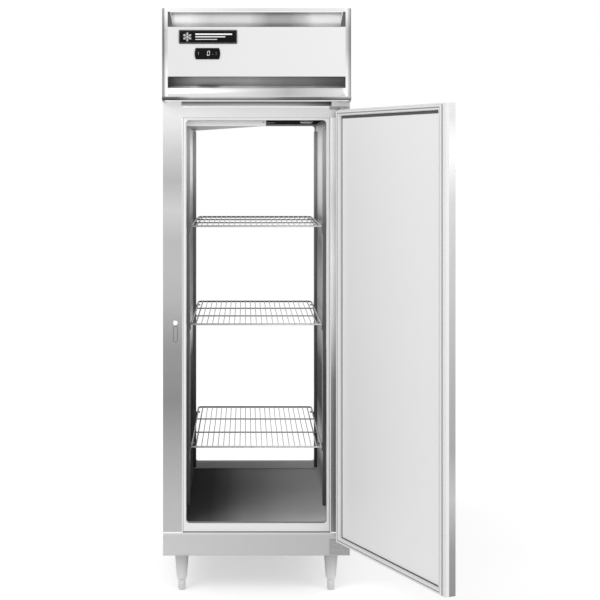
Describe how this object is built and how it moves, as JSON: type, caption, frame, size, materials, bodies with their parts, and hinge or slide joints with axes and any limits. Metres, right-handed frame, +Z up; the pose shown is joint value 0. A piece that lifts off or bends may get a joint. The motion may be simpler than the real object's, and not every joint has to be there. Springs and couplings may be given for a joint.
{
  "type": "reach in refrigerator",
  "caption": "Upright pass-through reach-in refrigerator with solid doors front and rear, wire shelves, steel legs and a top-mounted condensing unit behind a louvred hood.",
  "frame": {"origin": "centre of the cabinet footprint on the floor, under the foot pads", "axes": "+Z up; the front face looks along -Y; +X is the side the doors are hinged on"},
  "size_m": [0.9361, 2.0388, 2.067],
  "materials": {
    "stainless": "satin",
    "bright_stainless": "polished",
    "cover_white": "satin",
    "galvanised": "matte",
    "liner": "satin",
    "breaker": "satin",
    "foam": "matte",
    "shelf_wire": "coated",
    "inner_panel": "satin",
    "gasket": "soft",
    "bracket": "satin",
    "light": "translucent",
    "black_plastic": "gloss",
    "keys": "gloss",
    "coil": "mill",
    "compressor": "gloss",
    "copper": "satin"
  },
  "bodies": {
    "cabinet": {"left_side_panel": "stainless", "right_side_panel": "stainless", "front_left_stile": "stainless", "front_right_stile": "stainless", "front_rails": "stainless", "rear_face_sheets": "stainless", "legs": "stainless", "front_cover": "stainless", "rear_cover": "stainless", "compartment_side_panels": "stainless", "air_scoops": "stainless", "strike_plate": "bright_stainless", "front_cover_panel": "cover_white", "rear_cover_panel": "cover_white", "roof_panel": "galvanised", "base_panel": "galvanised", "unit_base": "galvanised", "fan_shroud": "galvanised", "liner_left_wall": "liner", "liner_right_wall": "liner", "liner_floor": "liner", "liner_ceiling": "liner", "pilasters": "liner", "front_breaker_frame": "breaker", "rear_breaker_frame": "breaker", "cabinet_foam": "foam", "evaporator_housing": "foam", "shelf_clips": "shelf_wire", "ceiling_baffle": "inner_panel", "hinge_brackets": "bracket", "interior_light": "light", "badge_plate": "black_plastic", "controller": "black_plastic", "condenser_fan_motor": "black_plastic", "evaporator_fan_motor": "black_plastic", "condenser_coil": "coil", "compressor": "compressor", "refrigerant_lines": "copper"},
    "front_door": {"front_door_skin": "stainless", "front_door_panel": "inner_panel", "front_door_core": "foam", "front_door_gasket": "gasket", "front_door_handle": "bright_stainless"},
    "front_lock": {"front_door_lock": "bright_stainless"},
    "rear_door": {"rear_door_skin": "stainless", "rear_door_panel": "inner_panel", "rear_door_core": "foam", "rear_door_gasket": "gasket", "rear_door_handle": "bright_stainless"},
    "top_shelf": {"top_shelf": "shelf_wire"},
    "middle_shelf": {"middle_shelf": "shelf_wire"},
    "bottom_shelf": {"bottom_shelf": "shelf_wire"},
    "condenser_fan": {"condenser_fan_blade": "coil"},
    "evaporator_fan": {"evaporator_fan_blade": "coil"},
    "left_key": {"left_key": "keys"},
    "right_key": {"right_key": "keys"},
    "front_left_foot": {"front_left_foot": "bright_stainless"},
    "front_right_foot": {"front_right_foot": "bright_stainless"},
    "rear_left_foot": {"rear_left_foot": "bright_stainless"},
    "rear_right_foot": {"rear_right_foot": "bright_stainless"}
  },
  "joints": [
    {"name": "front_door_hinge", "type": "hinge", "parent": "cabinet", "child": "front_door", "pos_m": [0.309, -0.4495, 0.2], "axis": [0, 0, 1], "range_deg": [-117, 3]},
    {"name": "rear_door_hinge", "type": "hinge", "parent": "cabinet", "child": "rear_door", "pos_m": [0.309, 0.4495, 0.2], "axis": [0, 0, 1], "range_deg": [-3, 117]},
    {"name": "front_lock_turn", "type": "hinge", "parent": "front_door", "child": "front_lock", "pos_m": [0.57912, -0.97965, 0.93], "axis": [-0.891, -0.454, 0], "range_deg": [0, 90]},
    {"name": "condenser_fan_spin", "type": "hinge", "parent": "cabinet", "child": "condenser_fan", "pos_m": [-0.155, -0.3305, 1.855], "axis": [0, 1, 0], "continuous": true},
    {"name": "evaporator_fan_spin", "type": "hinge", "parent": "cabinet", "child": "evaporator_fan", "pos_m": [0, 0.1755, 1.746], "axis": [0, 0, 1], "continuous": true},
    {"name": "left_key_press", "type": "slide", "parent": "cabinet", "child": "left_key", "axis": [0, 1, 0], "range_m": [0, 0.0008], "stiffness_N_per_m": 500, "springref_m": -0.0005},
    {"name": "right_key_press", "type": "slide", "parent": "cabinet", "child": "right_key", "axis": [0, 1, 0], "range_m": [0, 0.0008], "stiffness_N_per_m": 500, "springref_m": -0.0005},
    {"name": "top_shelf_lift", "type": "slide", "parent": "cabinet", "child": "top_shelf", "axis": [0, 0, 1], "range_m": [0, 0.04]},
    {"name": "middle_shelf_lift", "type": "slide", "parent": "cabinet", "child": "middle_shelf", "axis": [0, 0, 1], "range_m": [0, 0.04]},
    {"name": "bottom_shelf_lift", "type": "slide", "parent": "cabinet", "child": "bottom_shelf", "axis": [0, 0, 1], "range_m": [0, 0.04]},
    {"name": "front_left_foot_screw", "type": "slide", "parent": "cabinet", "child": "front_left_foot", "axis": [0, 0, -1], "range_m": [0, 0.025]},
    {"name": "front_right_foot_screw", "type": "slide", "parent": "cabinet", "child": "front_right_foot", "axis": [0, 0, -1], "range_m": [0, 0.025]},
    {"name": "rear_left_foot_screw", "type": "slide", "parent": "cabinet", "child": "rear_left_foot", "axis": [0, 0, -1], "range_m": [0, 0.025]},
    {"name": "rear_right_foot_screw", "type": "slide", "parent": "cabinet", "child": "rear_right_foot", "axis": [0, 0, -1], "range_m": [0, 0.025]}
  ]
}
